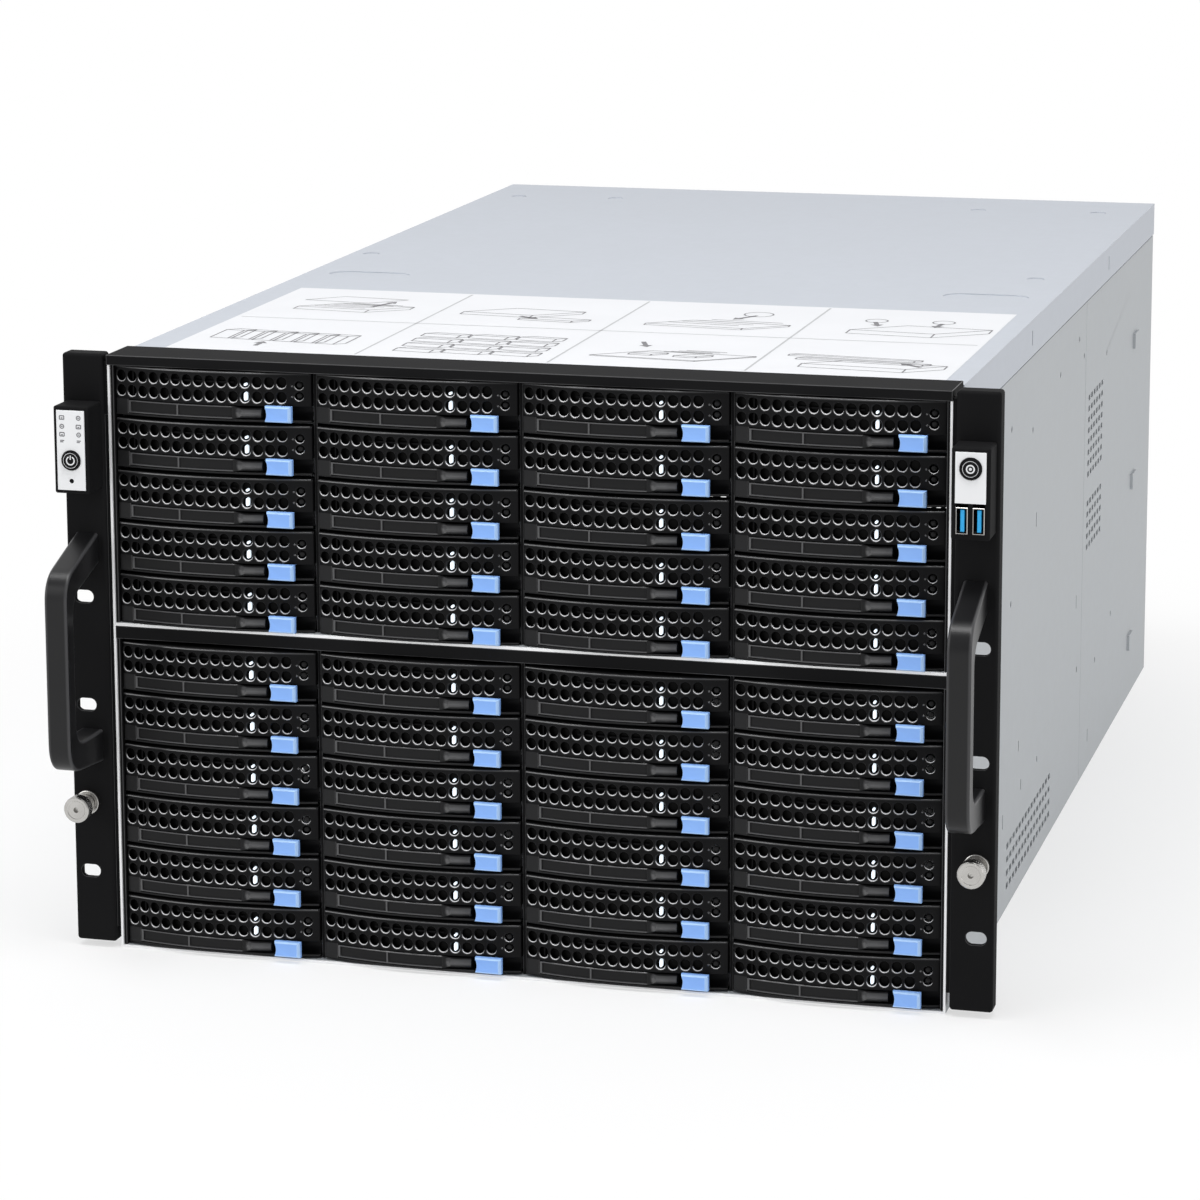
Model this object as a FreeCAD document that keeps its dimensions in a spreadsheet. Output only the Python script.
import FreeCAD
import Part
import Sketcher
import os

# A seven-unit rack chassis with a wall of hot-swap disk carriers, in millimetres.
# X runs to the right, Y to the rear and Z up. The origin is on the underside, on the centre line,
# in the plane where the rims of the rack ears bear on the posts of the rack.

doc = FreeCAD.newDocument("rack_chassis")
sheet = doc.addObject("Spreadsheet::Sheet", "dims")

DIMENSIONS = {
    # sheet metal body
    "rack_width": 482.6,
    "ear_face": 21.8,
    "ear_gap": 2.0,
    "ear_rise": 0.4,
    "body_rear": 730.0,
    "body_lead": 8.0,
    "body_height": 311.0,
    "sheet_thick": 1.2,
    "cover_overhang": 0.5,
    "cover_flange": 20.0,
    "cover_seam": 1.0,
    "cover_front": 20.5,
    "slide_gap": 0.2,
    "strip_lap": 7.0,
    # rack ears
    "ear_lift": 3.0,
    "ear_depth": 10.0,
    "ear_web": 3.0,
    "ear_wall": 1.2,
    "ear_round": 1.8,
    "leg_reach": 26.0,
    "leg_lap": 7.5,
    "leg_thick": 2.2,
    "leg_inset": 8.0,
    "slot_inset": 8.75,
    "slot_length": 10.6,
    "slot_width": 6.8,
    "slot_low": 40.7,
    "slot_middle": 129.6,
    "slot_high": 186.75,
    # pull handles
    "handle_inset": 11.3,
    "handle_width": 12.0,
    "handle_reach": 44.0,
    "handle_grip": 9.5,
    "handle_top": 220.5,
    "handle_bottom": 100.0,
    "handle_drop": 14.0,
    "handle_arm": 18.0,
    "handle_corner": 7.0,
    "handle_taper": 2.0,
    "handle_round": 3.0,
    # captive screws
    "screw_height": 78.0,
    "screw_head_radius": 6.9,
    "screw_head_length": 8.0,
    "screw_neck_radius": 4.2,
    "screw_reach": 18.0,
    "screw_shank_radius": 3.0,
    "screw_tail": 8.0,
    "screw_recess": 2.0,
    "running_gap": 0.05,
    "collar_radius": 6.4,
    "collar_length": 3.0,
    # drive wall
    "top_gap": 0.6,
    "base_gap": 1.1,
    "row_gap": 1.9,
    "shelf_gap": 0.3,
    "bar_gap": 2.1,
    "bezel_gap": 3.0,
    "bezel_bulge": 6.5,
    "bezel_end": 5.0,
    "bezel_back": 2.0,
    "bezel_wall": 1.6,
    "bezel_lip": 1.0,
    "hole_width": 5.2,
    "hole_height": 6.3,
    "hole_corner": 1.5,
    "hole_pitch": 6.2,
    "hole_first": 3.3,
    "hole_row_high": 5.1,
    "hole_row_low": 12.6,
    "pipe_place": 71.5,
    "pipe_width": 3.0,
    "pipe_height": 13.4,
    "pipe_bed": 1.2,
    "pipe_gap": 0.1,
    "pipe_rise": 0.8,
    "channel_height": 7.2,
    "channel_back": 2.5,
    "lever_gap": 0.3,
    "lever_block": 7.2,
    "lever_end": 78.0,
    "lever_neck": 66.0,
    "lever_neck_height": 3.9,
    "pivot_radius": 1.0,
    "pivot_bite": 0.8,
    "pivot_floor": 0.1,
    "barrel_radius": 1.65,
    "latch_place": 89.3,
    "latch_width": 14.0,
    "latch_height": 8.2,
    "latch_cap": 3.0,
    "latch_stem_inset": 1.2,
    "tray_gap": 3.8,
    "tray_side_gap": 0.3,
    "tray_wall": 1.2,
    "tray_height": 16.0,
    "tray_lift": 4.5,
    "tray_rear": 170.0,
    "tray_strip": 4.0,
    # cage behind the drive wall
    "post_width": 2.0,
    "post_front": 3.0,
    "side_post_front": 7.0,
    "post_rear": 6.0,
    "top_bar_height": 5.2,
    "top_bar_rise": 2.0,
    "top_bar_back": 0.5,
    "shelf_thick": 1.5,
    "mid_bar_height": 6.7,
    "cage_wall": 1.2,
    "cage_rear": 186.0,
    "ledge_thick": 1.2,
    "ledge_gap": 0.3,
    "board_thick": 2.0,
    "board_inset": 2.5,
    "socket_width": 42.0,
    "socket_height": 6.0,
    "socket_depth": 9.0,
    # status and service panels on the ears
    "panel_inset": 11.3,
    "panel_width": 19.0,
    "panel_bottom": 244.0,
    "panel_height": 45.0,
    "panel_reach": 17.5,
    "panel_round": 1.2,
    "plate_thick": 0.8,
    "plate_inset": 2.0,
    "power_height": 261.4,
    "power_radius": 4.9,
    "reset_height": 250.7,
    "reset_radius": 0.9,
    "service_height": 279.0,
    "service_radius": 5.2,
    "service_plate": 25.0,
    "button_gap": 0.3,
    "button_proud": 0.9,
    "button_length": 5.0,
    "button_travel": 0.8,
    "port_spread": 4.1,
    "port_height": 255.0,
    "port_width": 5.8,
    "port_length": 13.0,
    "port_depth": 11.0,
    "port_shell": 0.4,
    "tongue_thick": 1.6,
    "tongue_inset": 1.0,
    "tongue_margin": 1.4,
    # rear wall
    "fan_size": 120.0,
    "fan_space": 18.0,
    "fan_top_gap": 17.8,
    "fan_thick": 25.0,
    "fan_rim": 3.5,
    "fan_tip_gap": 1.5,
    "fan_arm_width": 4.0,
    "fan_arm_thick": 3.0,
    "hub_radius": 20.0,
    "shaft_radius": 2.0,
    "hub_gap": 1.0,
    "shaft_length": 6.0,
    "blade_thick": 1.6,
    "blade_gap": 6.0,
    "blade_width": 16.0,
    "blade_bite": 2.0,
    "guard_bar": 4.0,
    "guard_hub": 10.0,
    "fan_screw_inset": 7.5,
    "screw_cap_radius": 3.2,
    "screw_cap_thick": 1.2,
    "supply_left": 204.0,
    "supply_width": 76.0,
    "supply_height": 40.0,
    "supply_bottom": 10.0,
    "supply_length": 190.0,
    "supply_gap": 0.5,
    "supply_sleeve": 1.0,
    "supply_split": 2.0,
    "supply_lip": 1.0,
    "grip_left": 8.0,
    "grip_reach": 24.0,
    "grip_thick": 7.0,
    "grip_inset": 5.0,
    "grip_bar": 5.0,
    "inlet_left": 20.0,
    "inlet_width": 27.0,
    "inlet_height": 20.0,
    "inlet_rise": 9.0,
    "inlet_depth": 14.0,
    "slit_left": 52.0,
    "slit_pitch": 3.2,
    "slit_width": 2.0,
    "slit_rise": 15.0,
    "slit_height": 20.0,
    "slit_depth": 2.0,
    "tab_left": 54.0,
    "tab_width": 14.0,
    "tab_depth": 6.0,
    "tab_height": 7.0,
    "tab_rise": 4.0,
    "tab_gap": 0.3,
    "shield_space": 14.08,
    "shield_back": 0.4,
    "shield_width": 157.0,
    "shield_bottom": 13.0,
    "shield_height": 43.0,
    "shield_gap": 0.2,
    "card_inset": 17.0,
    "card_pitch": 20.32,
    "card_slot_width": 14.0,
    "card_slot_bottom": 12.0,
    "card_slot_height": 104.0,
    "card_cover_width": 18.4,
    "card_cover_lap": 4.0,
    "card_cover_thick": 0.9,
    "exhaust_width": 3.0,
    "exhaust_height": 13.0,
    "exhaust_inset": 3.4,
    "exhaust_pitch": 6.4,
    "exhaust_row": 16.5,
    "exhaust_rise": 9.0,
    "tray_plate_gap": 14.5,
    "tray_plate_front": 390.0,
    "tray_plate_margin": 2.0,
    "tray_plate_thick": 1.0,
    "standoff_radius": 3.0,
    "standoff_height": 6.5,
    "standoff_inset": 14.0,
    "standoff_across": 98.0,
    "standoff_along": 150.0,
    # side sheets
    "seam_place": 435.0,
    "seam_width": 0.8,
    "seam_depth": 0.5,
    "vent_width": 6.5,
    "vent_height": 3.2,
    "vent_rear_start": 449.0,
    "vent_rear_pitch": 10.6,
    "vent_rear_top": 232.0,
    "vent_row_pitch": 6.6,
    "vent_second_top": 168.0,
    "vent_front_start": 172.0,
    "vent_front_pitch": 10.2,
    "vent_front_top": 36.0,
    "vent_front_row": 7.4,
    "hook_place": 650.0,
    "hook_width": 16.0,
    "hook_height": 10.0,
    "hook_rise": 1.6,
    "fixing_radius": 1.8,
    "fixing_slit": 1.8,
    # marks in the top cover
    "thumb_place": 304.0,
    "thumb_spread": 180.0,
    "thumb_half": 14.0,
    "flange_slot_rise": 6.0,
    "flange_slot_width": 2.2,
    "flange_slot_height": 8.0,
    "dimple_radius": 5.0,
    "dimple_depth": 0.5,
}

for row, (alias, number) in enumerate(DIMENSIONS.items(), 1):
    sheet.set(f"A{row}", alias.replace("_", " "))
    sheet.set(f"B{row}", str(number))
    sheet.setAlias(f"B{row}", alias)
doc.recompute()

# Counts of repeated features.
COLUMNS = 4
UPPER_ROWS = 5
LOWER_ROWS = 6
HOLE_COLUMNS = 15
PIPE_COLUMN = 11
CARD_SLOTS = 7
BLADES = 7
BLADE_ANGLE = 38
GUARD_RINGS = 4
SUPPLY_SLITS = 6
EXHAUST_COLUMNS = 24
EXHAUST_ROWS = 3
# How far a cutting block runs past the faces that it cuts, and a joined block into its neighbour.
OVER = 1
BITE = 0.3
# Column and row, counted from the top left, of the carriers that work.
WORKING = [(0, 6), (1, 3), (2, 7), (3, 1)]

# Places that several pieces share, written as formulas on the sheet.
HALF = "(dims.rack_width / 2 - dims.ear_face - dims.ear_gap)"
INNER = f"({HALF} - dims.sheet_thick)"
EAR_INNER = f"({HALF} + dims.ear_gap)"
SLOT_X = "(dims.rack_width / 2 - dims.slot_inset)"
HANDLE_X = "(dims.rack_width / 2 - dims.handle_inset)"
PANEL_X = "(dims.rack_width / 2 - dims.panel_inset)"
FLANGE_FOOT = "(dims.body_height - dims.cover_flange)"
SIDE_TOP = f"({FLANGE_FOOT} - dims.cover_seam)"
STRIP_OUT = f"({HALF} + dims.cover_overhang - dims.sheet_thick - dims.slide_gap)"
COVER_UNDER = "(dims.body_height - dims.sheet_thick)"
BAR_TOP = "(dims.body_height + dims.top_bar_rise)"
BAR_FOOT = f"({BAR_TOP} - dims.top_bar_height)"
EAR_HEIGHT = f"({BAR_TOP} + dims.ear_rise - dims.ear_lift)"
PANEL_FRONT = "(dims.ear_depth + dims.panel_reach)"
# The columns share the width between the cage's outer walls.
OUTER_WALL = f"({STRIP_OUT} - dims.sheet_thick - dims.slide_gap)"
PITCH = f"(({OUTER_WALL} - dims.cage_wall - dims.tray_side_gap + dims.tray_gap / 2) / {COLUMNS // 2})"
BEZEL_WIDE = f"({PITCH} - dims.bezel_gap)"
TRAY_WIDE = f"({PITCH} - dims.tray_gap)"
LEFT_END = f"(-{BEZEL_WIDE} / 2)"
BULGE_RADIUS = f"(({BEZEL_WIDE} ^ 2 / 4 + dims.bezel_bulge ^ 2) / (2 * dims.bezel_bulge))"
# The rows share the height that the pan, the shelf and the bars leave.
UPPER_TOP = f"({BAR_FOOT} - dims.top_gap)"
SHELF_STACK = "(dims.shelf_gap + dims.shelf_thick + dims.mid_bar_height + dims.bar_gap)"
ROW_SPACE = f"({UPPER_TOP} - dims.sheet_thick - dims.base_gap - {SHELF_STACK})"
BEZEL_HIGH = f"(({ROW_SPACE} - {UPPER_ROWS + LOWER_ROWS - 2} * dims.row_gap) / {UPPER_ROWS + LOWER_ROWS})"
ROW_PITCH = f"({BEZEL_HIGH} + dims.row_gap)"
SHELF_TOP = f"({UPPER_TOP} - {UPPER_ROWS - 1} * {ROW_PITCH} - {BEZEL_HIGH} - dims.shelf_gap)"
SHELF_FOOT = f"({SHELF_TOP} - dims.shelf_thick)"
MID_FOOT = f"({SHELF_FOOT} - dims.mid_bar_height)"
LOWER_TOP = f"({MID_FOOT} - dims.bar_gap)"
# What stands at the rear lines up from the left: supplies, card slots, shield.
REAR_IN = "(dims.body_rear - dims.sheet_thick)"
SUPPLY_X = "(-dims.supply_left)"
SUPPLY_FRONT = "(dims.body_rear - dims.supply_length)"
SUPPLY_PITCH = "(dims.supply_height + dims.supply_split)"
BAY_HIGH = f"({SUPPLY_PITCH} + dims.supply_height)"
SLEEVE_RIGHT = f"({SUPPLY_X} + dims.supply_width + dims.supply_gap + dims.supply_sleeve)"
PLATE_LEFT = f"({SLEEVE_RIGHT} + dims.tray_plate_gap)"
CARD_FIRST = f"({PLATE_LEFT} + dims.card_inset)"
SHIELD_LEFT = f"({CARD_FIRST} + {CARD_SLOTS - 1} * dims.card_pitch + dims.shield_space)"
FAN_FRONT = f"({REAR_IN} - dims.fan_thick)"
FAN_HEIGHT = f"({COVER_UNDER} - dims.fan_top_gap - dims.fan_size / 2)"
FAN_BORE = "(dims.fan_size / 2 - dims.fan_rim)"
FAN_PLACES = [f"({i} * (dims.fan_size + dims.fan_space))" for i in (-1, 0, 1)]


def size(text):
    """The number that a formula on the sheet gives."""
    return float(sheet.evalExpression(str(text)))


def bind(thing, **formulas):
    """Tie properties of a document object to formulas on the sheet."""
    for name, text in formulas.items():
        thing.setExpression(name, str(text))
    return thing


def place(thing, x, y, z):
    """Tie the position of a document object to formulas on the sheet."""
    for axis, text in zip("xyz", (x, y, z)):
        thing.setExpression(f"Placement.Base.{axis}", str(text))
    return thing


def box(name, x, y, z, wide, deep, high):
    """A block given by its lowest corner and its three sizes."""
    block = doc.addObject("Part::Box", name)
    bind(block, Length=wide, Width=deep, Height=high)
    return place(block, x, y, z)


TURNS = {
    "x": FreeCAD.Rotation(FreeCAD.Vector(0, 1, 0), 90),
    "y": FreeCAD.Rotation(FreeCAD.Vector(1, 0, 0), -90),
    "z": FreeCAD.Rotation(),
}


def rod(name, axis, x, y, z, radius, length):
    """A cylinder that starts at a point and runs along +X, +Y or +Z."""
    bar = doc.addObject("Part::Cylinder", name)
    bar.Placement = FreeCAD.Placement(FreeCAD.Vector(), TURNS[axis])
    bind(bar, Radius=radius, Height=length)
    return place(bar, x, y, z)


def fuse(name, pieces):
    joined = doc.addObject("Part::MultiFuse", name)
    joined.Shapes = pieces
    joined.Refine = True
    return joined


def group(name, pieces):
    """Separate pieces that do not touch, kept as one object."""
    several = doc.addObject("Part::Compound", name)
    several.Links = pieces
    return several


def cut(name, base, tool):
    rest = doc.addObject("Part::Cut", name)
    rest.Base = base
    rest.Tool = tool
    return rest


def common(name, first, second):
    shared = doc.addObject("Part::Common", name)
    shared.Base = first
    shared.Tool = second
    return shared


def mirror(name, source):
    """The same piece on the other side of the centre plane."""
    twin = doc.addObject("Part::Mirroring", name)
    twin.Source = source
    twin.Normal = FreeCAD.Vector(1, 0, 0)
    return twin


def rounded(name, base, radius, choose):
    """Round those edges of a piece that a test on the edge picks."""
    doc.recompute()
    picked = [i for i, edge in enumerate(base.Shape.Edges, 1) if choose(edge)]
    soft = doc.addObject("Part::Fillet", name)
    soft.Base = base
    soft.Edges = [(i, size(radius), size(radius)) for i in picked]
    return soft


def polygon_body(name, plane, points, length):
    """A body padded from a closed outline of straight lines, every corner tied to the sheet."""
    body = doc.addObject("PartDesign::Body", name)
    sketch = body.newObject("Sketcher::SketchObject", f"{name}_outline")
    base = [f for f in body.Origin.OriginFeatures if f.Role == plane][0]
    sketch.AttachmentSupport = [(base, "")]
    sketch.MapMode = "FlatFace"
    corners = [FreeCAD.Vector(size(u), size(v), 0) for u, v in points]
    count = len(corners)
    for i in range(count):
        sketch.addGeometry(Part.LineSegment(corners[i], corners[(i + 1) % count]), False)
    for i in range(count):
        sketch.addConstraint(Sketcher.Constraint("Coincident", i, 2, (i + 1) % count, 1))
    for i, (u, v) in enumerate(points):
        for kind, text in (("DistanceX", u), ("DistanceY", v)):
            rule = sketch.addConstraint(Sketcher.Constraint(kind, -1, 1, i, 1, size(text)))
            sketch.setExpression(f"Constraints[{rule}]", str(text))
    pad = body.newObject("PartDesign::Pad", f"{name}_pad")
    pad.Profile = sketch
    bind(pad, Length=length)
    doc.recompute()
    return body, pad


PIECES = {}


def keep(name, thing):
    """Name a finished piece, which is written under that name."""
    thing.Label = name
    PIECES[name] = thing
    return thing


def keep_shapes(name, shapes):
    """A finished group of equal pieces, made of placed copies."""
    holder = doc.addObject("Part::Feature", name)
    holder.Shape = shapes[0] if len(shapes) == 1 else Part.makeCompound(shapes)
    return keep(name, holder)


def moved(thing, x, y, z):
    """A copy of a piece's shape at another place."""
    shape = thing.Shape.copy()
    shape.translate(FreeCAD.Vector(x, y, z))
    return shape


# Base pan and side sheets. The upper strip of each side is set inwards, behind the cover's flange.
BODY_LONG = "(dims.body_lead + dims.body_rear)"
keep("base_pan", box("pan", f"-{HALF}", "-dims.body_lead", 0, f"2 * {HALF}", BODY_LONG, "dims.sheet_thick"))

side_wall = box("side_wall", INNER, "-dims.body_lead", "dims.sheet_thick", "dims.sheet_thick",
                BODY_LONG, f"{SIDE_TOP} - dims.sheet_thick")
side_front = box("side_front", INNER, "-dims.body_lead", "dims.sheet_thick", "dims.sheet_thick",
                 "dims.body_lead + dims.cover_front - dims.slide_gap", f"{BAR_FOOT} - dims.sheet_thick")
side_strip = box("side_strip", f"{STRIP_OUT} - dims.sheet_thick", "dims.cover_front",
                 f"{SIDE_TOP} - dims.strip_lap", "dims.sheet_thick", "dims.body_rear - dims.cover_front",
                 f"{COVER_UNDER} - {SIDE_TOP} + dims.strip_lap")
side_blank = fuse("side_blank", [side_wall, side_front, side_strip])
side_cuts = [box("seam_groove", f"{HALF} - dims.seam_depth", "dims.seam_place", 0, f"dims.seam_depth + {OVER}",
                 "dims.seam_width", FLANGE_FOOT)]
THROUGH_SIDE = f"dims.sheet_thick + {2 * OVER}"


def vent_field(name, start, pitch, columns, top, row_pitch, rows):
    """Small openings in straight rows on the side sheet."""
    return [box(f"{name}_{i}_{j}", f"{INNER} - {OVER}", f"{start} + {i} * {pitch}",
                f"{top} - dims.vent_height - {j} * {row_pitch}", THROUGH_SIDE,
                "dims.vent_width", "dims.vent_height")
            for i in range(columns) for j in range(rows)]


side_cuts += vent_field("vent_high", "dims.vent_rear_start", "dims.vent_rear_pitch", 6,
                        "dims.vent_rear_top", "dims.vent_row_pitch", 8)
side_cuts += vent_field("vent_middle", "dims.vent_rear_start", "dims.vent_rear_pitch", 6,
                        "dims.vent_second_top", "dims.vent_row_pitch", 5)
side_cuts += vent_field("vent_low", "dims.vent_front_start", "dims.vent_front_pitch", 15,
                        "dims.vent_front_top", "dims.vent_front_row", 4)

# Fixing holes of the cage and the slide rails: place along Y, height, and half the upright length.
FIXING_HOLES = [
    (169, 262, 0), (240, 249, 0), (257, 196, 4), (174, 167, 0), (413, 115, 4), (419, 73, 0),
    (561, 75, 0), (495, 61, 0), (408, 272, 0), (337, 263, 0), (428, 259, 0), (523, 246, 0),
    (469, 20, 4), (207, 81, 3), (272, 57, 0), (217, 57, 3), (158, 52, 4),
]
for i, (along, height, half) in enumerate(FIXING_HOLES):
    if half:
        side_cuts.append(box(f"slit_{i}", f"{INNER} - {OVER}", f"{along} - dims.fixing_slit / 2",
                             height - half, THROUGH_SIDE, "dims.fixing_slit", 2 * half))
    else:
        side_cuts.append(rod(f"hole_{i}", "x", f"{INNER} - {OVER}", along, height, "dims.fixing_radius",
                             THROUGH_SIDE))
side_open = cut("side_open", side_blank, group("side_openings", side_cuts))

HOOK_HEIGHTS = (234, 143, 37)
hooks = [box(f"hook_{i}", f"{HALF} - {BITE}", "dims.hook_place - dims.hook_width / 2",
             f"{height} - dims.hook_height / 2", f"dims.hook_rise + {BITE}", "dims.hook_width",
             "dims.hook_height") for i, height in enumerate(HOOK_HEIGHTS)]
side_right = keep("right_side", fuse("side_right", [side_open] + hooks))
keep("left_side", mirror("side_left", side_right))

# Rack ears: hollow blocks with a thin web, a leg that lies on the side sheet, and rack slots.
ear_block = box("ear_block", EAR_INNER, "-dims.ear_depth", "dims.ear_lift", "dims.ear_face",
                "dims.ear_depth", EAR_HEIGHT)
ear_soft = rounded("ear_soft", ear_block, "dims.ear_round",
                   lambda edge: edge.BoundBox.YMin < BITE - size("dims.ear_depth"))
ear_hollow = box("ear_hollow", f"{EAR_INNER} + dims.ear_wall", "dims.ear_web - dims.ear_depth",
                 "dims.ear_lift + dims.ear_wall", "dims.ear_face - 2 * dims.ear_wall",
                 "dims.ear_depth", f"{EAR_HEIGHT} - 2 * dims.ear_wall")
ear_leg = box("ear_leg", HALF, "-dims.leg_lap", "dims.ear_lift + dims.leg_inset", "dims.leg_thick",
              "dims.leg_lap + dims.leg_reach", f"{SIDE_TOP} - dims.ear_lift - 2 * dims.leg_inset")
EAR_OUT = f"(-dims.ear_depth - {OVER})"
THROUGH_WEB = f"dims.ear_web + {2 * OVER}"


def rack_slot(name, height):
    """A round-ended slot through the web of an ear, lying along X."""
    flat = "(dims.slot_length - dims.slot_width)"
    middle = box(f"{name}_middle", f"{SLOT_X} - {flat} / 2", EAR_OUT, f"{height} - dims.slot_width / 2",
                 flat, THROUGH_WEB, "dims.slot_width")
    ends = [rod(f"{name}_end_{i}", "y", f"{SLOT_X} {sign} {flat} / 2", EAR_OUT, height,
                "dims.slot_width / 2", THROUGH_WEB) for i, sign in enumerate("+-")]
    return fuse(name, [middle] + ends)


ear_bore = rod("ear_bore", "y", SLOT_X, EAR_OUT, "dims.screw_height",
               "dims.screw_shank_radius + dims.running_gap", THROUGH_WEB)
ear_body = fuse("ear_body", [cut("ear_shell", ear_soft, ear_hollow), ear_leg])
ear_openings = group("ear_openings", [
    ear_bore, rack_slot("slot_a", "dims.slot_low"), rack_slot("slot_b", "dims.slot_middle"),
    rack_slot("slot_c", "dims.slot_high")])
ear_right = keep("right_rack_ear", cut("ear_right", ear_body, ear_openings))
keep("left_rack_ear", mirror("ear_left", ear_right))

# Pull handles: a bent bar with a slanted upper arm, drawn from the side.
FRONT_FACE = "(-dims.ear_depth)"
GRIP_FRONT = "(-dims.ear_depth - dims.handle_reach)"
GRIP_BACK = "(-dims.ear_depth - dims.handle_reach + dims.handle_grip)"
SHOULDER = "(dims.handle_top - dims.handle_drop)"
handle_points = [
    (FRONT_FACE, "dims.handle_top"),
    (f"{GRIP_FRONT} + dims.handle_corner", SHOULDER),
    (GRIP_FRONT, f"{SHOULDER} - dims.handle_corner"),
    (GRIP_FRONT, "dims.handle_bottom + 2 * dims.handle_corner"),
    (f"{GRIP_FRONT} + dims.handle_corner", "dims.handle_bottom + dims.handle_corner / 2"),
    (FRONT_FACE, "dims.handle_bottom"),
    (FRONT_FACE, "dims.handle_bottom + dims.handle_arm - dims.handle_taper"),
    (f"{GRIP_BACK} + dims.handle_corner", "dims.handle_bottom + dims.handle_arm"),
    (GRIP_BACK, "dims.handle_bottom + dims.handle_arm + dims.handle_corner"),
    (GRIP_BACK, f"{SHOULDER} - dims.handle_arm - 2 * dims.handle_corner"),
    (f"{GRIP_BACK} + dims.handle_corner", f"{SHOULDER} - dims.handle_arm - dims.handle_corner / 2"),
    (FRONT_FACE, "dims.handle_top - dims.handle_arm"),
]
handle_body, handle_pad = polygon_body("handle_bar", "YZ_Plane", handle_points, "dims.handle_width")
place(handle_body, f"{HANDLE_X} - dims.handle_width / 2", 0, 0)
handle_soft = handle_body.newObject("PartDesign::Fillet", "handle_soft")
doc.recompute()
foot_plane = -size("dims.ear_depth") - BITE
handle_edges = [f"Edge{i}" for i, edge in enumerate(handle_pad.Shape.Edges, 1)
                if edge.BoundBox.YMax < foot_plane or edge.BoundBox.YLength > size("dims.handle_corner") / 2]
handle_soft.Base = (handle_pad, handle_edges)
bind(handle_soft, Radius="dims.handle_round")
handle_body.Tip = handle_soft
doc.recompute()
handle_right = keep("right_handle", handle_body)
keep("left_handle", mirror("handle_left", handle_right))

# Captive screws, each in a collar on the face of its ear.
SCREW_BASE = "(-dims.ear_depth - dims.screw_reach)"
COLLAR_BASE = "(-dims.ear_depth - dims.collar_length)"


def screw_rod(name, start, radius, length):
    """A cylinder on the axis of the right-hand captive screw."""
    return rod(name, "y", SLOT_X, start, "dims.screw_height", radius, length)


collar_right = cut(
    "collar_right", screw_rod("collar_outer", COLLAR_BASE, "dims.collar_radius", "dims.collar_length"),
    screw_rod("collar_bore", f"{COLLAR_BASE} - {OVER}", "dims.screw_shank_radius + dims.running_gap",
              f"dims.collar_length + {2 * OVER}"))
keep("screw_collars", group("collars", [collar_right, mirror("collar_left", collar_right)]))

screw_whole = fuse("screw_whole", [
    screw_rod("screw_head", SCREW_BASE, "dims.screw_head_radius", "dims.screw_head_length"),
    screw_rod("screw_neck", f"{SCREW_BASE} + {OVER}", "dims.screw_neck_radius",
              f"dims.screw_reach - {OVER} - dims.collar_length - dims.button_gap"),
    screw_rod("screw_shank", f"{SCREW_BASE} + {2 * OVER}", "dims.screw_shank_radius",
              f"dims.screw_reach + dims.ear_depth + dims.screw_tail - {2 * OVER}")])
screw_dimple = screw_rod("screw_dimple", f"{SCREW_BASE} - {OVER}", "dims.screw_shank_radius / 2",
                         f"dims.screw_recess + {OVER}")
screw_right = keep("right_thumbscrew", cut("screw_right", screw_whole, screw_dimple))
keep("left_thumbscrew", mirror("screw_left", screw_right))

# Black frames round the drive wall, and the shelf between its upper and lower parts.


def frame_posts(name, foot, top):
    """Upright posts between the columns and, standing further forward, one against each side sheet."""
    gap = f"({INNER} - {COLUMNS // 2} * {PITCH} + dims.post_width / 2)"
    spans = [(f"{i} * {PITCH} - dims.post_width / 2", "dims.post_width", "dims.post_front") for i in (-1, 0, 1)]
    spans += [(left, gap, "dims.side_post_front") for left in (f"-{INNER}", f"{INNER} - {gap}")]
    return [box(f"{name}_post_{i}", left, f"-{front}", foot, wide, f"{front} + dims.post_rear",
                f"{top} - {foot}") for i, (left, wide, front) in enumerate(spans)]


TOP_BAR_FRONT = "(dims.ear_depth - dims.top_bar_back)"
top_bar = box("top_bar", f"-{HALF}", f"-{TOP_BAR_FRONT}", BAR_FOOT, f"2 * {HALF}",
              f"{TOP_BAR_FRONT} + dims.cover_front - dims.slide_gap", "dims.top_bar_height")
keep("upper_front_frame", fuse("upper_frame", [top_bar] + frame_posts("upper", SHELF_TOP, BAR_FOOT)))
mid_bar = box("mid_bar", f"-{INNER}", "-dims.body_lead", MID_FOOT, f"2 * {INNER}",
              "dims.body_lead + dims.post_rear", "dims.mid_bar_height")
keep("lower_front_frame", fuse("lower_frame", [mid_bar] + frame_posts("lower", "dims.sheet_thick", MID_FOOT)))
keep("mid_shelf", box("shelf", f"-{INNER}", "-dims.body_lead", SHELF_FOOT, f"2 * {INNER}",
                      "dims.body_lead + dims.cage_rear", "dims.shelf_thick"))

# Cage walls with a ledge under each rail of each carrier.
UPPER = range(UPPER_ROWS)
LOWER = range(UPPER_ROWS, UPPER_ROWS + LOWER_ROWS)
CAGE_LONG = "dims.cage_rear - dims.post_rear"


def bay_centre(column):
    return f"({column} - {(COLUMNS - 1) / 2}) * {PITCH}"


def bay_foot(row):
    """The lower edge of a carrier's front, counted in rows from the top."""
    if row < UPPER_ROWS:
        return f"({UPPER_TOP} - {BEZEL_HIGH} - {row} * {ROW_PITCH})"
    return f"({LOWER_TOP} - {BEZEL_HIGH} - {row - UPPER_ROWS} * {ROW_PITCH})"


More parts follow.
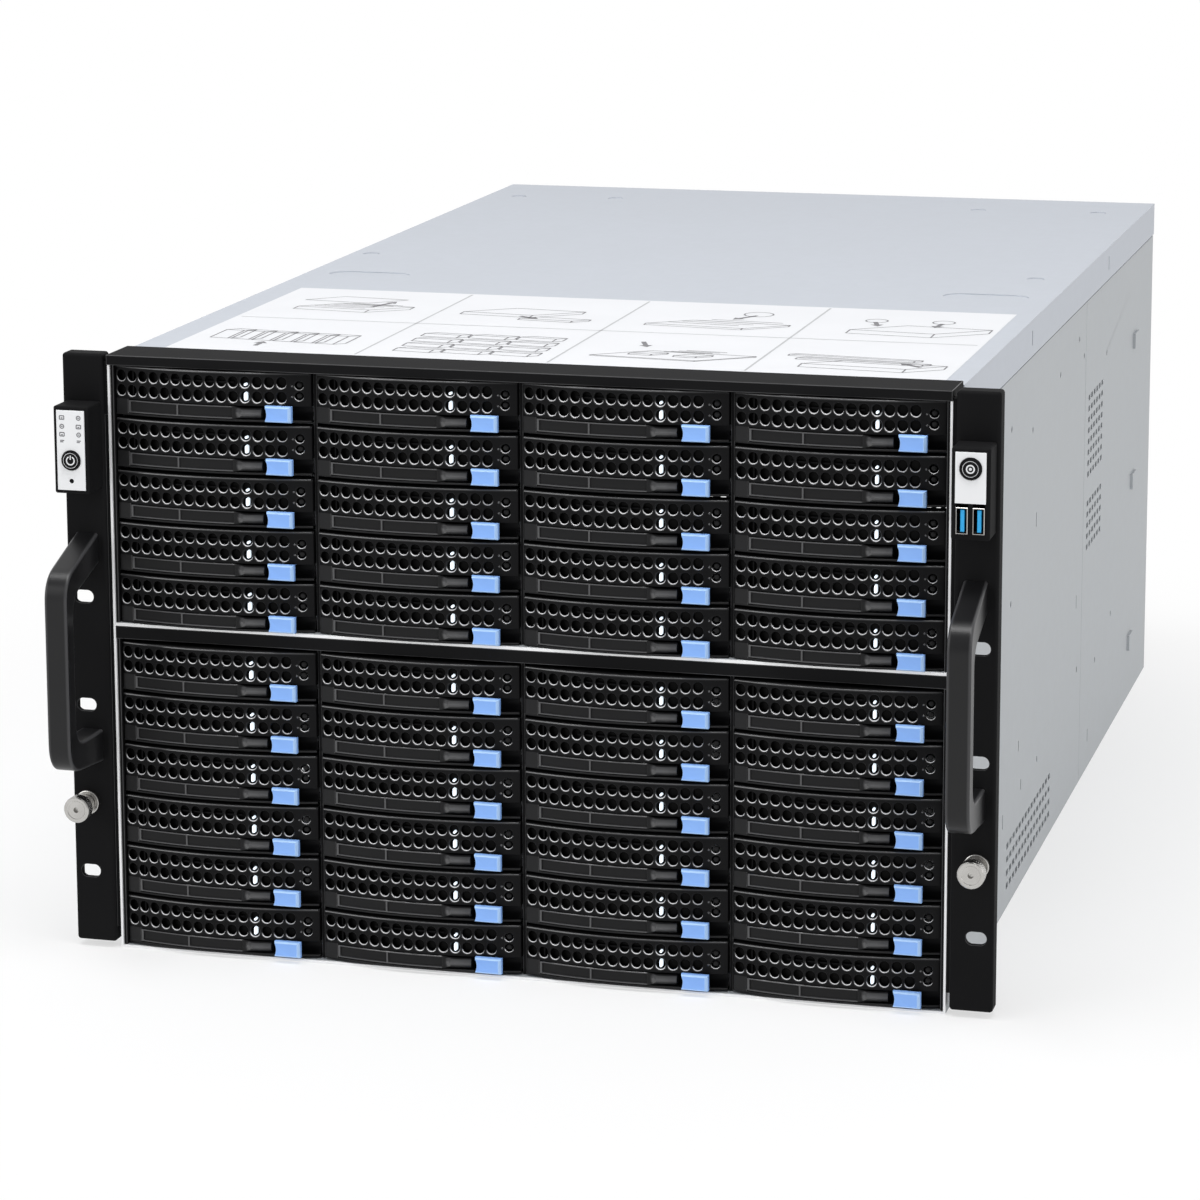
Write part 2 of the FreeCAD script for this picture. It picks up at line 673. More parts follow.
def wall_faces(index):
    """The left and right face of a cage wall, counted from the left."""
    if index == 0:
        return f"-{OUTER_WALL}", f"(dims.cage_wall - {OUTER_WALL})"
    if index == COLUMNS:
        return f"({OUTER_WALL} - dims.cage_wall)", OUTER_WALL
    middle = f"({index} - {COLUMNS // 2}) * {PITCH}"
    return f"({middle} - dims.cage_wall / 2)", f"({middle} + dims.cage_wall / 2)"


def cage_wall(name, index, rows, foot, top):
    """One upright wall with the ledges that it carries on both faces."""
    left, right = wall_faces(index)
    parts = [box(f"{name}_sheet", left, "dims.post_rear", foot, f"{right} - {left}", CAGE_LONG,
                 f"{top} - {foot}")]
    inside = f"({TRAY_WIDE} / 2 - dims.tray_wall + dims.ledge_gap)"
    for row in rows:
        shelf = f"{bay_foot(row)} + dims.tray_lift - dims.ledge_gap - dims.ledge_thick"
        spans = []
        if index > 0:
            edge = f"({bay_centre(index - 1)} + {inside})"
            spans.append((edge, f"{right} - {edge}"))
        if index < COLUMNS:
            edge = f"({bay_centre(index)} - {inside})"
            spans.append((left, f"{edge} - {left}"))
        parts += [box(f"{name}_ledge_{row}_{i}", start, "dims.post_rear", shelf, wide, CAGE_LONG,
                      "dims.ledge_thick") for i, (start, wide) in enumerate(spans)]
    return fuse(name, parts)


keep("drive_cage_walls", group("cage", [
    cage_wall(f"{name}_{index}", index, rows, foot, top) for index in range(COLUMNS + 1)
    for name, rows, foot, top in (("upper_cage", UPPER, SHELF_TOP, BAR_FOOT),
                                  ("lower_cage", LOWER, "dims.sheet_thick", SHELF_FOOT))]))


def backplane(name, rows, foot, top):
    """A board behind the cage with an air slot above each socket."""
    board = box(f"{name}_board", f"-{OUTER_WALL}", "dims.cage_rear", foot, f"2 * {OUTER_WALL}",
                "dims.board_thick", f"{top} - {foot}")
    slots = [box(f"{name}_air_{row}_{column}", f"{bay_centre(column)} - dims.socket_width",
                 f"dims.cage_rear - {OVER}", f"{bay_foot(row)} + {BEZEL_HIGH} / 2",
                 "2 * dims.socket_width", f"dims.board_thick + {2 * OVER}", f"{BEZEL_HIGH} / 3")
             for row in rows for column in range(COLUMNS)]
    return cut(name, board, group(f"{name}_air", slots))


keep("backplanes", group("boards", [
    backplane("upper_board", UPPER, f"({SHELF_TOP} + dims.board_inset)", f"({BAR_FOOT} - dims.board_inset)"),
    backplane("lower_board", LOWER, "(dims.sheet_thick + dims.board_inset)",
              f"({SHELF_FOOT} - dims.board_inset)")]))
keep("backplane_connectors", group("sockets", [
    box(f"socket_{column}_{row}", f"{bay_centre(column)} - dims.socket_width / 2",
        "dims.cage_rear - dims.socket_depth", f"{bay_foot(row)} + dims.tray_lift", "dims.socket_width",
        "dims.socket_depth", "dims.socket_height")
    for column in range(COLUMNS) for row in range(UPPER_ROWS + LOWER_ROWS)]))

# One carrier at the origin: middle of its column at X = 0, lower edge of its front at Z = 0.
CHANNEL_TOP = "(dims.bezel_lip + dims.channel_height)"
BULGE_FRONT = "(-dims.bezel_end - dims.bezel_bulge)"
BULGE_AXIS = f"({BULGE_FRONT} + {BULGE_RADIUS})"
PIVOT_X = f"({LEFT_END} + dims.lever_block + dims.lever_gap + dims.barrel_radius)"
PIVOT_FRONT = f"({BULGE_AXIS} - sqrt({BULGE_RADIUS} ^ 2 - {PIVOT_X} ^ 2))"
PIVOT_Y = f"({PIVOT_FRONT} + dims.barrel_radius)"
LEVER_FOOT = "(dims.bezel_lip + dims.lever_gap)"
LEVER_HIGH = "(dims.channel_height - 2 * dims.lever_gap)"


def bulged(name, inset, x, z, wide, high, back):
    """A block whose front follows the bulge of the carrier, set back by an inset."""
    block = box(f"{name}_block", x, f"{BULGE_FRONT} - {OVER}", z, wide,
                f"{OVER} - {BULGE_FRONT} + ({back})", high)
    barrel = rod(f"{name}_bulge", "z", 0, BULGE_AXIS, f"{z} - {OVER}", f"{BULGE_RADIUS} - {inset}",
                 f"{high} + {2 * OVER}")
    return common(name, block, barrel)


def bezel_holes():
    """Air holes with cut corners in two rows, with a gap for the light pipe."""
    wide = size("dims.hole_width") / 2
    high = size("dims.hole_height") / 2
    corner = size("dims.hole_corner")
    quarter = [(wide, high - corner), (wide - corner, high)]
    outline = [(x * sx, z * sz) for sx, sz, order in ((1, 1, 1), (-1, 1, -1), (-1, -1, 1), (1, -1, -1))
               for x, z in quarter[::order]]
    front = size(f"{BULGE_FRONT} - {OVER}")
    points = [FreeCAD.Vector(x, front, z) for x, z in outline + outline[:1]]
    blank = Part.Face(Part.makePolygon(points)).extrude(FreeCAD.Vector(0, -front, 0))
    holes = []
    for i in range(HOLE_COLUMNS):
        for row in ("dims.hole_row_high", "dims.hole_row_low"):
            if i != PIPE_COLUMN:
                hole = blank.copy()
                hole.translate(FreeCAD.Vector(size(f"{LEFT_END} + dims.hole_first + {i} * dims.hole_pitch"), 0,
                                              size(f"{BEZEL_HIGH} - {row}")))
                holes.append(hole)
    return holes


bezel_block = bulged("bezel_block", 0, LEFT_END, 0, BEZEL_WIDE, BEZEL_HIGH, "dims.bezel_back")
bezel_hollow = bulged("bezel_hollow", "dims.bezel_wall", f"{LEFT_END} + dims.bezel_wall",
                      f"{CHANNEL_TOP} + dims.bezel_lip", f"{BEZEL_WIDE} - 2 * dims.bezel_wall",
                      f"{BEZEL_HIGH} - {CHANNEL_TOP} - 2 * dims.bezel_lip", f"dims.bezel_back + {OVER}")
bezel_channel = box("bezel_channel", f"{LEFT_END} + dims.lever_block", f"{BULGE_FRONT} - {OVER}",
                    "dims.bezel_lip", BEZEL_WIDE, f"{OVER} - {BULGE_FRONT} - dims.channel_back",
                    "dims.channel_height")
PIPE_LEFT = f"({LEFT_END} + dims.pipe_place - dims.pipe_width / 2)"
PIPE_FOOT = f"({CHANNEL_TOP} + dims.bezel_lip + dims.pipe_rise)"
pipe_slot = box("pipe_slot", f"{PIPE_LEFT} - dims.pipe_gap", f"{BULGE_FRONT} - {OVER}",
                f"{PIPE_FOOT} - dims.pipe_gap", "dims.pipe_width + 2 * dims.pipe_gap",
                f"dims.bezel_bulge + {OVER}", "dims.pipe_height + 2 * dims.pipe_gap")
pivot_hole = rod("pivot_hole", "z", PIVOT_X, PIVOT_Y, "dims.pivot_floor",
                 "dims.pivot_radius + dims.running_gap", f"{CHANNEL_TOP} + dims.bezel_lip - dims.pivot_floor")
air_holes = doc.addObject("Part::Feature", "air_holes")
air_holes.Shape = Part.makeCompound(bezel_holes())
bezel_shell = cut("bezel_shell", bezel_block, fuse("bezel_inside", [bezel_channel, bezel_hollow, pivot_hole]))
bezel = cut("bezel", bezel_shell, group("bezel_openings", [air_holes, pipe_slot]))
pipe = bulged("pipe", "dims.pipe_bed / 2", PIPE_LEFT, PIPE_FOOT, "dims.pipe_width", "dims.pipe_height",
              "-dims.bezel_end - dims.pipe_bed / 2")

lever_bar = bulged("lever_bar", 0, PIVOT_X, LEVER_FOOT, f"{LEFT_END} + dims.lever_end - {PIVOT_X}", LEVER_HIGH,
                   "-dims.channel_back - dims.lever_gap")
lever_scoop = box("lever_scoop", f"{LEFT_END} + dims.lever_neck", f"{BULGE_FRONT} - {OVER}",
                  f"{LEVER_FOOT} + dims.lever_neck_height", "dims.lever_end",
                  f"{OVER} - {BULGE_FRONT}", "dims.channel_height")
lever_barrel = rod("lever_barrel", "z", PIVOT_X, PIVOT_Y, LEVER_FOOT, "dims.barrel_radius", LEVER_HIGH)
lever_pins = rod("lever_pins", "z", PIVOT_X, PIVOT_Y, "dims.bezel_lip - dims.pivot_bite", "dims.pivot_radius",
                 "dims.channel_height + 2 * dims.pivot_bite")
lever = fuse("lever", [cut("lever_necked", lever_bar, lever_scoop), lever_barrel, lever_pins])

LATCH_LEFT = f"({LEFT_END} + dims.latch_place - dims.latch_width / 2)"
LATCH_BACK = f"({BULGE_AXIS} - sqrt({BULGE_RADIUS} ^ 2 - {LATCH_LEFT} ^ 2) - dims.lever_gap)"
latch_cap = box("latch_cap", LATCH_LEFT, f"{LATCH_BACK} - dims.latch_cap",
                "dims.bezel_lip + dims.channel_height / 2 - dims.latch_height / 2", "dims.latch_width",
                "dims.latch_cap", "dims.latch_height")
latch_stem = box("latch_stem", f"{LATCH_LEFT} + dims.latch_stem_inset", f"{LATCH_BACK} - {OVER}", LEVER_FOOT,
                 "dims.latch_width - 2 * dims.latch_stem_inset",
                 f"{OVER} - {LATCH_BACK} - dims.channel_back - dims.lever_gap", LEVER_HIGH)
latch = fuse("latch", [latch_cap, latch_stem])

RAIL_OUT = f"({TRAY_WIDE} / 2)"
rails = [box(f"rail_{i}", x, "dims.bezel_back", "dims.tray_lift", "dims.tray_wall",
             "dims.tray_rear - dims.bezel_back", "dims.tray_height")
         for i, x in enumerate((f"-{RAIL_OUT}", f"{RAIL_OUT} - dims.tray_wall"))]
rear_strip = box("rear_strip", f"dims.tray_wall - {RAIL_OUT}", "dims.tray_rear - dims.tray_strip",
                 "dims.tray_lift", f"{TRAY_WIDE} - 2 * dims.tray_wall", "dims.tray_strip", "dims.tray_wall")
doc.recompute()

CARRIER = {"tray": rails + [rear_strip], "bezel": [bezel, pipe], "lever": [lever], "latch": [latch]}
PLURAL = {"tray": "parked_trays", "bezel": "parked_bezels", "lever": "parked_levers", "latch": "parked_latches"}
bays = {(column, row): (size(bay_centre(column)), 0, size(bay_foot(row)))
        for column in range(COLUMNS) for row in range(UPPER_ROWS + LOWER_ROWS)}
for kind, sources in CARRIER.items():
    for number, bay in enumerate(WORKING, 1):
        keep_shapes(f"carrier_{number}_{kind}", [moved(s, *bays[bay]) for s in sources])
    keep_shapes(PLURAL[kind], [moved(s, *spot) for bay, spot in bays.items() if bay not in WORKING
                               for s in sources])

# Panels on the ears: a housing, a face plate, push buttons and two data ports.
LEFT_X = f"(-{PANEL_X})"


def panel_housing(name, x, pockets):
    """A box on the face of an ear, with pockets for what sits in it."""
    blank = box(f"{name}_blank", f"{x} - dims.panel_width / 2", f"-{PANEL_FRONT}", "dims.panel_bottom",
                "dims.panel_width", "dims.panel_reach", "dims.panel_height")
    soft = rounded(f"{name}_soft", blank, "dims.panel_round",
                   lambda edge: edge.BoundBox.YMin < BITE - size(PANEL_FRONT))
    return cut(name, soft, group(f"{name}_pockets", pockets))


def button_pocket(name, x, z, radius):
    return rod(name, "y", x, f"-{PANEL_FRONT} - {2 * OVER}", z, f"{radius} + dims.button_gap",
               f"{2 * OVER} + dims.button_length + dims.button_travel")


def face_plate(name, x, foot, high, holes):
    plate = box(f"{name}_blank", f"{x} - dims.panel_width / 2 + dims.plate_inset",
                f"-{PANEL_FRONT} - dims.plate_thick", foot, "dims.panel_width - 2 * dims.plate_inset",
                "dims.plate_thick", high)
    return cut(name, plate, group(f"{name}_holes", holes))


def push_button(name, x, z, radius, proud):
    return rod(name, "y", x, f"-{PANEL_FRONT} - dims.plate_thick - {proud}", z, radius,
               f"dims.plate_thick + {proud} + dims.button_length - dims.button_gap")


POWER = (LEFT_X, "dims.power_height", "dims.power_radius")
RESET = (LEFT_X, "dims.reset_height", "dims.reset_radius")
SERVICE = (PANEL_X, "dims.service_height", "dims.service_radius")
keep("status_panel_housing", panel_housing("status_housing", LEFT_X, [
    button_pocket("power_pocket", *POWER), button_pocket("reset_pocket", *RESET)]))
keep("status_panel_plate", face_plate(
    "status_plate", LEFT_X, "dims.panel_bottom + dims.plate_inset", "dims.panel_height - 2 * dims.plate_inset",
    [button_pocket("power_hole", *POWER), button_pocket("reset_hole", *RESET)]))
keep("power_button", push_button("power", *POWER, "dims.button_proud"))
keep("reset_button", push_button("reset", *RESET, "(-dims.button_gap)"))
PORT_LONG = "(dims.plate_thick + dims.port_depth)"


def port_block(name, sign, margin, deep):
    """A block the size of an upright data port, grown by a margin."""
    return box(name, f"{PANEL_X} {sign} dims.port_spread - dims.port_width / 2 - {margin}",
               f"-{PANEL_FRONT} - dims.plate_thick", f"dims.port_height - dims.port_length / 2 - {margin}",
               f"dims.port_width + 2 * {margin}", deep, f"dims.port_length + 2 * {margin}")


port_pockets = [port_block(f"port_pocket_{i}", sign, "dims.pipe_gap", PORT_LONG) for i, sign in enumerate("-+")]
keep("id_panel_housing", panel_housing("service_housing", PANEL_X,
                                       port_pockets + [button_pocket("service_pocket", *SERVICE)]))
keep("id_panel_plate", face_plate(
    "service_face", PANEL_X, "dims.panel_bottom + dims.panel_height - dims.plate_inset - dims.service_plate",
    "dims.service_plate", [button_pocket("service_hole", *SERVICE)]))
keep("id_button", push_button("service", *SERVICE, "dims.button_proud"))

ports = []
for i, sign in enumerate("-+"):
    shell = port_block(f"port_shell_{i}", sign, 0, PORT_LONG)
    inside = port_block(f"port_inside_{i}", sign, "(-dims.port_shell)", f"{PORT_LONG} - dims.tongue_inset")
    tongue = box(f"tongue_{i}", f"{PANEL_X} {sign} dims.port_spread - dims.tongue_thick / 2",
                 f"dims.tongue_inset - {PANEL_FRONT}",
                 "dims.port_height - dims.port_length / 2 + dims.tongue_margin", "dims.tongue_thick",
                 "dims.port_depth - 2 * dims.tongue_inset", "dims.port_length - 2 * dims.tongue_margin")
    ports += [cut(f"port_{i}", shell, inside), tongue]
keep("usb_ports", group("ports", ports))

# Rear wall with finger guards, card slots, shield opening, exhaust slits and the bay of the power supplies.
REAR_OUT = f"{REAR_IN} - {OVER}"
THROUGH_REAR = f"dims.sheet_thick + {2 * OVER}"
rear_low = box("rear_low", f"-{INNER}", REAR_IN, "dims.sheet_thick", f"2 * {INNER}", "dims.sheet_thick",
               f"{SIDE_TOP} - dims.strip_lap - dims.sheet_thick")
rear_high = box("rear_high", f"dims.sheet_thick - {STRIP_OUT}", REAR_IN, "dims.sheet_thick",
                f"2 * {STRIP_OUT} - 2 * dims.sheet_thick", "dims.sheet_thick",
                f"{COVER_UNDER} - dims.sheet_thick")


def finger_guard(name, x):
    """Ring-shaped openings, crossed by bars that stay in the sheet."""
    step = f"(({FAN_BORE} - dims.guard_hub) / {GUARD_RINGS})"
    deeper = f"{REAR_OUT} - {OVER}", f"{THROUGH_REAR} + {2 * OVER}"
    rings = []
    for i in range(GUARD_RINGS):
        near = f"(dims.guard_hub + {i} * {step})"
        outer = rod(f"{name}_out_{i}", "y", x, REAR_OUT, FAN_HEIGHT, f"{near} + {step} - dims.guard_bar",
                    THROUGH_REAR)
        inner = rod(f"{name}_in_{i}", "y", x, deeper[0], FAN_HEIGHT, near, deeper[1])
        rings.append(cut(f"{name}_ring_{i}", outer, inner))
    upright = box(f"{name}_upright", f"{x} - dims.guard_bar / 2", deeper[0], f"{FAN_HEIGHT} - dims.fan_size",
                  "dims.guard_bar", deeper[1], "2 * dims.fan_size")
    level = box(f"{name}_level", f"{x} - dims.fan_size", deeper[0], f"{FAN_HEIGHT} - dims.guard_bar / 2",
                "2 * dims.fan_size", deeper[1], "dims.guard_bar")
    return cut(name, group(f"{name}_rings", rings), fuse(f"{name}_cross", [upright, level]))


def card_place(i):
    return f"{CARD_FIRST} + {i} * dims.card_pitch"


rear_cuts = [finger_guard(f"guard_{i}", x) for i, x in enumerate(FAN_PLACES)]
rear_cuts += [box(f"card_slot_{i}", f"{card_place(i)} - dims.card_slot_width / 2", REAR_OUT,
                  "dims.card_slot_bottom", "dims.card_slot_width", THROUGH_REAR, "dims.card_slot_height")
              for i in range(CARD_SLOTS)]
rear_cuts.append(box("shield_opening", f"{SHIELD_LEFT} - dims.shield_gap", REAR_OUT,
                     "dims.shield_bottom - dims.shield_gap", "dims.shield_width + 2 * dims.shield_gap",
                     THROUGH_REAR, "dims.shield_height + 2 * dims.shield_gap"))
EXHAUST_FOOT = "(dims.shield_bottom + dims.shield_height + dims.exhaust_rise)"
rear_cuts += [box(f"exhaust_{i}_{j}", f"{SHIELD_LEFT} + dims.exhaust_inset + {i} * dims.exhaust_pitch", REAR_OUT,
                  f"{EXHAUST_FOOT} + {j} * dims.exhaust_row", "dims.exhaust_width", THROUGH_REAR,
                  "dims.exhaust_height") for i in range(EXHAUST_COLUMNS) for j in range(EXHAUST_ROWS)]
rear_cuts.append(box("supply_opening", f"{SUPPLY_X} - dims.supply_gap", REAR_OUT,
                     "dims.supply_bottom - dims.supply_gap", "dims.supply_width + 2 * dims.supply_gap",
                     THROUGH_REAR, f"{BAY_HIGH} + 2 * dims.supply_gap"))
keep("rear_panel", cut("rear", fuse("rear_blank", [rear_low, rear_high]), group("rear_openings", rear_cuts)))
keep("io_shield", box("shield", SHIELD_LEFT, f"{REAR_IN} - dims.shield_back", "dims.shield_bottom",
                      "dims.shield_width", "dims.sheet_thick", "dims.shield_height"))
keep("slot_covers", group("card_covers", [
    box(f"card_cover_{i}", f"{card_place(i)} - dims.card_cover_width / 2", f"{REAR_IN} - dims.card_cover_thick",
        "dims.card_slot_bottom - dims.card_cover_lap", "dims.card_cover_width", "dims.card_cover_thick",
        "dims.card_slot_height + 2 * dims.card_cover_lap") for i in range(CARD_SLOTS)]))

# Exhaust fans: a square housing with a round duct and a bearing on four arms, and a rotor.


def fan_housing(name, x):
    block = box(f"{name}_block", f"{x} - dims.fan_size / 2", FAN_FRONT, f"{FAN_HEIGHT} - dims.fan_size / 2",
                "dims.fan_size", "dims.fan_thick", "dims.fan_size")
    duct = rod(f"{name}_duct", "y", x, f"{FAN_FRONT} - {OVER}", FAN_HEIGHT, FAN_BORE,
               f"dims.fan_thick + {2 * OVER}")
    reach = f"({FAN_BORE} + {OVER})"
    arms = [box(f"{name}_arm_a", f"{x} - {reach}", FAN_FRONT, f"{FAN_HEIGHT} - dims.fan_arm_width / 2",
                f"2 * {reach}", "dims.fan_arm_thick", "dims.fan_arm_width"),
            box(f"{name}_arm_b", f"{x} - dims.fan_arm_width / 2", FAN_FRONT, f"{FAN_HEIGHT} - {reach}",
                "dims.fan_arm_width", "dims.fan_arm_thick", f"2 * {reach}"),
            rod(f"{name}_mount", "y", x, FAN_FRONT, FAN_HEIGHT, "dims.hub_radius", "dims.fan_arm_thick")]
    bearing = rod(f"{name}_bearing", "y", x, f"{FAN_FRONT} - {OVER}", FAN_HEIGHT,
                  "dims.shaft_radius + dims.running_gap", f"dims.fan_arm_thick + {2 * OVER}")
    return cut(name, fuse(f"{name}_whole", [cut(f"{name}_frame", block, duct)] + arms), bearing)


def fan_rotor(name, x):
    """A hub with a shaft and flat blades set at a pitch, each with its middle on a spoke of the hub."""
    hub = rod(f"{name}_hub", "y", x, f"{FAN_FRONT} + dims.fan_arm_thick + dims.hub_gap", FAN_HEIGHT,
              "dims.hub_radius", "dims.fan_thick - dims.fan_arm_thick - 3 * dims.hub_gap")
    shaft = rod(f"{name}_shaft", "y", x, f"{FAN_FRONT} + {BITE}", FAN_HEIGHT, "dims.shaft_radius",
                "dims.shaft_length")
    pitch = FreeCAD.Rotation(FreeCAD.Vector(1, 0, 0), BLADE_ANGLE)
    lean = pitch.multVec(FreeCAD.Vector(0, size("dims.blade_width") / 2, 0)).z
    blades = []
    for i in range(BLADES):
        blade = doc.addObject("Part::Box", f"{name}_blade_{i}")
        bind(blade, Length=f"{FAN_BORE} - dims.fan_tip_gap - dims.hub_radius + dims.blade_bite",
             Width="dims.blade_width", Height="dims.blade_thick")
        turn = FreeCAD.Rotation(FreeCAD.Vector(0, 1, 0), 360 * (i + 0.5) / BLADES)
        start = turn.multVec(FreeCAD.Vector(size("dims.hub_radius - dims.blade_bite"), 0, -lean))
        blade.Placement = FreeCAD.Placement(start, turn.multiply(pitch))
        place(blade, f"{x} + ({start.x})", f"{FAN_FRONT} + dims.blade_gap", f"{FAN_HEIGHT} + ({start.z})")
        blades.append(blade)
    return fuse(name, [hub, shaft] + blades)


keep("fan_housings", group("housings", [fan_housing(f"housing_{i}", x) for i, x in enumerate(FAN_PLACES)]))
for side, x in zip(("left", "middle", "right"), FAN_PLACES):
    keep(f"fan_rotor_{side}", fan_rotor(f"rotor_{side}", x))

# Two power supplies in a sleeve, each with a grip and a latch at the rear.


def supply_foot(level):
    return f"(dims.supply_bottom + {level} * {SUPPLY_PITCH})"


def power_supply(name, level):
    foot = supply_foot(level)
    case = box(f"{name}_case", SUPPLY_X, SUPPLY_FRONT, foot, "dims.supply_width",
               "dims.supply_length + dims.supply_lip", "dims.supply_height")
    grip = box(f"{name}_grip", f"{SUPPLY_X} + dims.grip_left", "dims.body_rear", f"{foot} + dims.grip_inset",
               "dims.grip_thick", "dims.grip_reach", "dims.supply_height - 2 * dims.grip_inset")
    rim = "(dims.grip_inset + dims.grip_bar)"
    finger = box(f"{name}_finger", f"{SUPPLY_X} + dims.grip_left - {OVER}", "dims.body_rear + dims.supply_lip",
                 f"{foot} + {rim}", f"dims.grip_thick + {2 * OVER}",
                 "dims.grip_reach - dims.supply_lip - dims.grip_bar", f"dims.supply_height - 2 * {rim}")
    inlet = box(f"{name}_inlet", f"{SUPPLY_X} + dims.inlet_left", "dims.body_rear - dims.inlet_depth",
                f"{foot} + dims.inlet_rise", "dims.inlet_width",
                f"dims.inlet_depth + dims.supply_lip + {OVER}", "dims.inlet_height")
    slits = [box(f"{name}_slit_{i}", f"{SUPPLY_X} + dims.slit_left + {i} * dims.slit_pitch",
                 "dims.body_rear - dims.slit_depth", f"{foot} + dims.slit_rise", "dims.slit_width",
                 f"dims.slit_depth + dims.supply_lip + {OVER}", "dims.slit_height")
             for i in range(SUPPLY_SLITS)]
    return cut(name, fuse(f"{name}_whole", [case, cut(f"{name}_loop", grip, finger)]),
               group(f"{name}_cuts", [inlet] + slits))


def supply_latch(name, level):
    """A thumb tab beside the inlet that slides to free the module."""
    return box(name, f"{SUPPLY_X} + dims.tab_left", "dims.body_rear + dims.supply_lip + dims.tab_gap",
               f"{supply_foot(level)} + dims.tab_rise", "dims.tab_width", "dims.tab_depth", "dims.tab_height")


for level, word in enumerate(("lower", "upper")):
    keep(f"{word}_power_supply", power_supply(f"supply_{word}", level))
    keep(f"{word}_supply_latch", supply_latch(f"supply_latch_{word}", level))

SLEEVE_FOOT = "(dims.supply_bottom - dims.supply_gap)"
SLEEVE_TOP = f"({SLEEVE_FOOT} + {BAY_HIGH} + 2 * dims.supply_gap)"
SLEEVE_LONG = "(dims.supply_length - dims.sheet_thick)"
SLEEVE_LEFT = f"({SUPPLY_X} - dims.supply_gap - dims.supply_sleeve)"
sleeve_walls = [box(f"sleeve_wall_{i}", x, SUPPLY_FRONT, "dims.sheet_thick", "dims.supply_sleeve", SLEEVE_LONG,
                    f"{SLEEVE_TOP} + dims.supply_sleeve - dims.sheet_thick")
                for i, x in enumerate((SLEEVE_LEFT, f"{SLEEVE_RIGHT} - dims.supply_sleeve"))]
SLEEVE_FLOORS = [
    (f"{SLEEVE_FOOT} - dims.supply_sleeve", "dims.supply_sleeve"),
    ("dims.supply_bottom + dims.supply_height + dims.supply_gap / 2", "dims.supply_split - dims.supply_gap"),
    (SLEEVE_TOP, "dims.supply_sleeve"),
]
sleeve_walls += [box(f"sleeve_floor_{i}", SLEEVE_LEFT, SUPPLY_FRONT, z, f"{SLEEVE_RIGHT} - {SLEEVE_LEFT}",
                     SLEEVE_LONG, thick) for i, (z, thick) in enumerate(SLEEVE_FLOORS)]
keep("psu_cage", fuse("sleeve", sleeve_walls))

# Plate for the main board, with standoffs.
plate = box("plate", PLATE_LEFT, "dims.tray_plate_front", "dims.sheet_thick",
            f"{INNER} - dims.tray_plate_margin - {PLATE_LEFT}",
            f"{REAR_IN} - dims.tray_plate_margin - dims.tray_plate_front", "dims.tray_plate_thick")
standoffs = [rod(f"standoff_{i}_{j}", "z", f"{PLATE_LEFT} + dims.standoff_inset + {i} * dims.standoff_across",
                 f"dims.tray_plate_front + dims.standoff_inset + {j} * dims.standoff_along",
                 f"dims.sheet_thick + {BITE}", "dims.standoff_radius",
                 f"dims.tray_plate_thick + dims.standoff_height - {BITE}") for i in range(4) for j in range(3)]
keep("motherboard_tray", fuse("board_tray", [plate] + standoffs))

# Screws that show: fan screws at the rear and the screws of the ears' legs.
FAN_SCREW = "(dims.fan_size / 2 - dims.fan_screw_inset)"
LEG_SCREW_HEIGHTS = (44, 158, 272)
screws = [rod(f"fan_screw_{i}_{j}", "y", f"{x} {corner[0]} {FAN_SCREW}", "dims.body_rear",
              f"{FAN_HEIGHT} {corner[1]} {FAN_SCREW}", "dims.screw_cap_radius", "dims.screw_cap_thick")
          for i, x in enumerate(FAN_PLACES) for j, corner in enumerate(("++", "+-", "-+", "--"))]
for i, height in enumerate(LEG_SCREW_HEIGHTS):
    leg_screw = rod(f"leg_screw_{i}", "x", f"{HALF} + dims.leg_thick", "dims.leg_reach / 2", height,
                    "dims.screw_cap_radius", "dims.screw_cap_thick")
    screws += [leg_screw, mirror(f"leg_screw_left_{i}", leg_screw)]
keep("chassis_screws", group("screw_caps", screws))

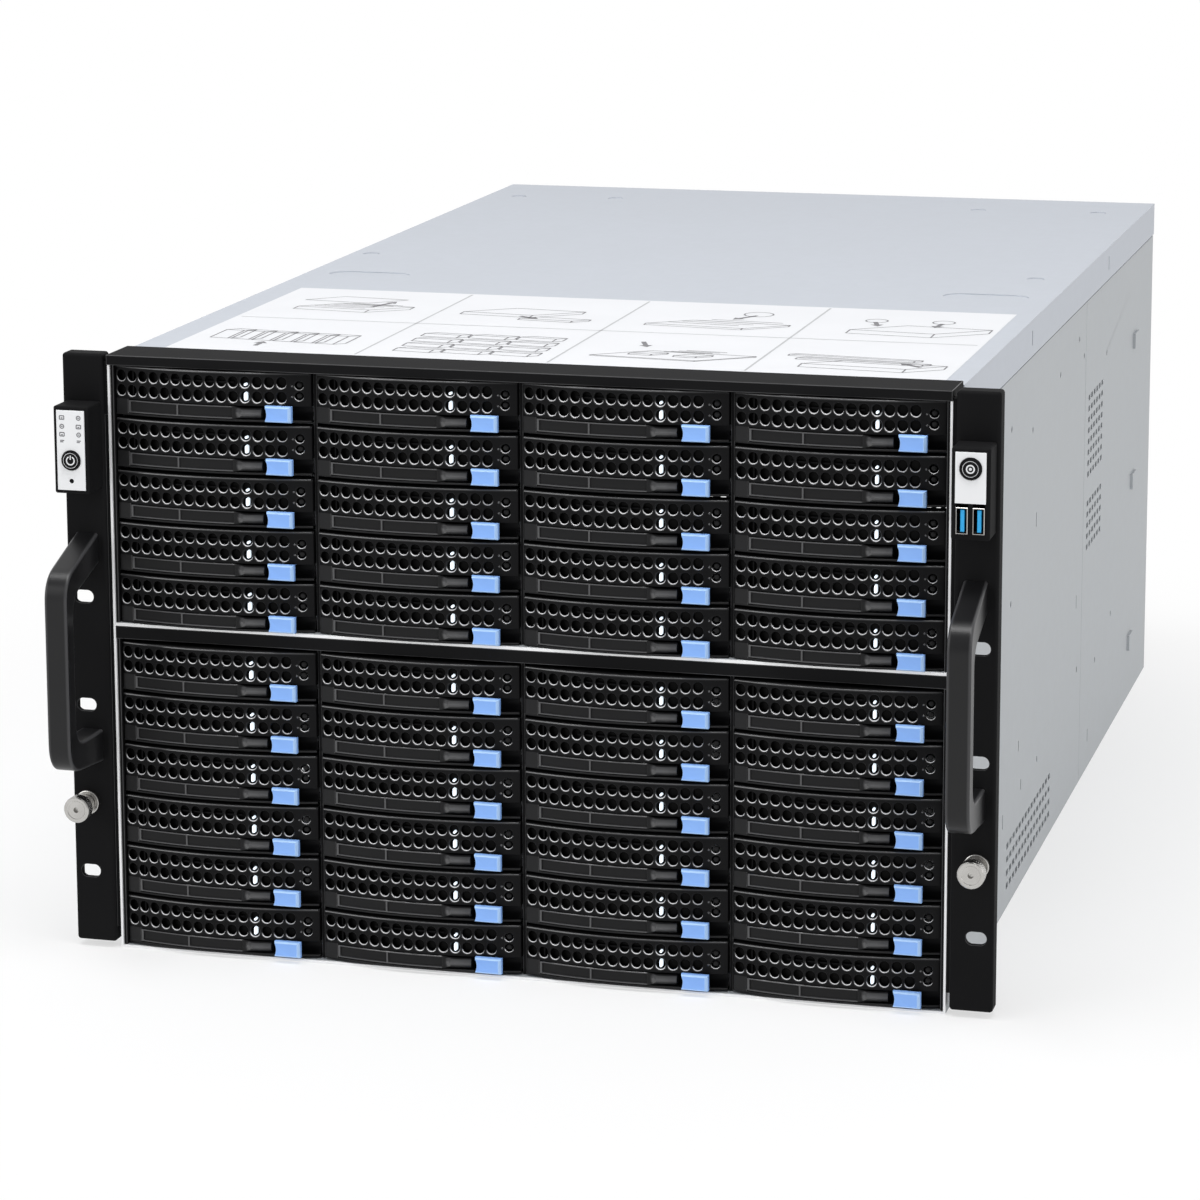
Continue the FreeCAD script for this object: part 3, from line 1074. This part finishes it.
# Top cover: a sheet with side flanges, thumb recesses and shallow pressed marks.
COVER_HALF = f"({HALF} + dims.cover_overhang)"
COVER_LONG = "dims.body_rear - dims.cover_front"
cover_top = box("cover_top", f"-{COVER_HALF}", "dims.cover_front", COVER_UNDER, f"2 * {COVER_HALF}",
                COVER_LONG, "dims.sheet_thick")
cover_sides = [box(f"cover_side_{i}", x, "dims.cover_front", FLANGE_FOOT, "dims.sheet_thick",
                   COVER_LONG, "dims.cover_flange")
               for i, x in enumerate((f"-{COVER_HALF}", f"{COVER_HALF} - dims.sheet_thick"))]
MARK_FLOOR = "dims.body_height - dims.dimple_depth"
MARK_HIGH = f"dims.dimple_depth + {OVER}"
PRESS_MARKS = [(-196, 669), (-131, 674), (112, 671), (189, 675), (196, 378), (-206, 386)]
marks = [rod(f"mark_{i}", "z", x, y, MARK_FLOOR, "dims.dimple_radius", MARK_HIGH)
         for i, (x, y) in enumerate(PRESS_MARKS)]
THUMB_RADIUS = "(2 * dims.dimple_radius)"
for i, side in enumerate(("-", "+")):
    middle = box(f"thumb_{i}_middle", f"{side} dims.thumb_spread - dims.thumb_half",
                 f"dims.thumb_place - {THUMB_RADIUS}", MARK_FLOOR, "2 * dims.thumb_half",
                 f"2 * {THUMB_RADIUS}", MARK_HIGH)
    ends = [rod(f"thumb_{i}_end_{j}", "z", f"{side} dims.thumb_spread {sign} dims.thumb_half",
                "dims.thumb_place", MARK_FLOOR, THUMB_RADIUS, MARK_HIGH) for j, sign in enumerate("+-")]
    marks.append(fuse(f"thumb_{i}", [middle] + ends))
FLANGE_SLOTS = (229, 520)
flange_slots = [box(f"flange_slot_{i}", f"-{COVER_HALF} - {OVER}", y, f"{FLANGE_FOOT} + dims.flange_slot_rise",
                    f"2 * {COVER_HALF} + {2 * OVER}", "dims.flange_slot_width", "dims.flange_slot_height")
                for i, y in enumerate(FLANGE_SLOTS)]
keep("top_cover", cut("cover", fuse("cover_blank", [cover_top] + cover_sides),
                      group("cover_marks", marks + flange_slots)))

doc.recompute()

# Nothing is written unless every object and every finished piece is sound.
faulty = [o.Name for o in doc.Objects if any(word in o.State for word in ("Invalid", "Error"))]
empty = [n for n, o in PIECES.items() if o.Shape.isNull() or not o.Shape.isValid() or not o.Shape.Solids]
if faulty or empty:
    raise RuntimeError(f"failed objects: {faulty}, failed pieces: {empty}")
os.makedirs("parts", exist_ok=True)
for name, thing in PIECES.items():
    thing.Shape.exportStep(os.path.join("parts", f"{name}.step"))
print(len(PIECES), "pieces,", sum(len(o.Shape.Solids) for o in PIECES.values()), "solids")
